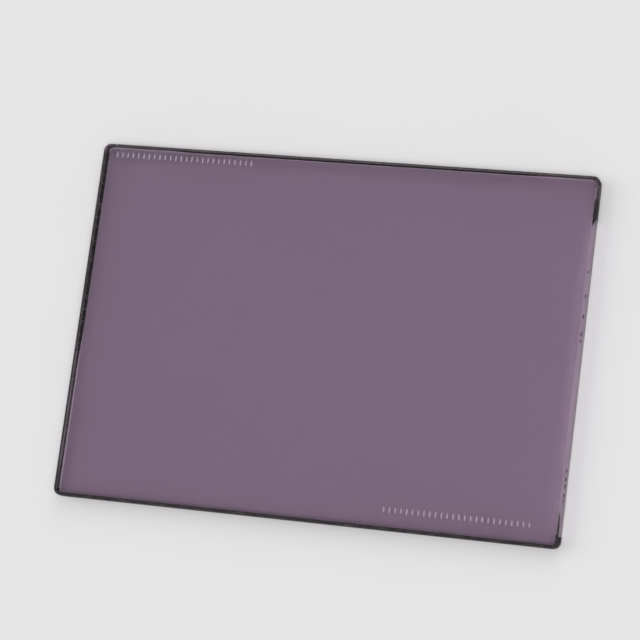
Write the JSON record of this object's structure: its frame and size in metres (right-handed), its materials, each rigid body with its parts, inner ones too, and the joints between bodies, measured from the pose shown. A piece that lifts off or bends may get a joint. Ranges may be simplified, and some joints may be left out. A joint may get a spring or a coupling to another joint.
{
  "type": "camera enhancing filter",
  "caption": "Rectangular violet glass filter plate for a camera's filter tray, with rounded corners, bevelled ground edges and worn black edge paint.",
  "frame": {"origin": "centre of the rear polished face, which the plate lies on", "axes": "+X along the length towards the end with the worn paint, +Y across the width, +Z out of the front face"},
  "size_m": [0.1436, 0.1018, 0.004],
  "materials": {
    "violet_glass": "polished faces, fine-ground edges",
    "edge_paint": "worn matte black edge paint"
  },
  "bodies": {
    "root": {"glass_plate": "violet_glass", "edge_blacking": "edge_paint"}
  },
  "joints": []
}
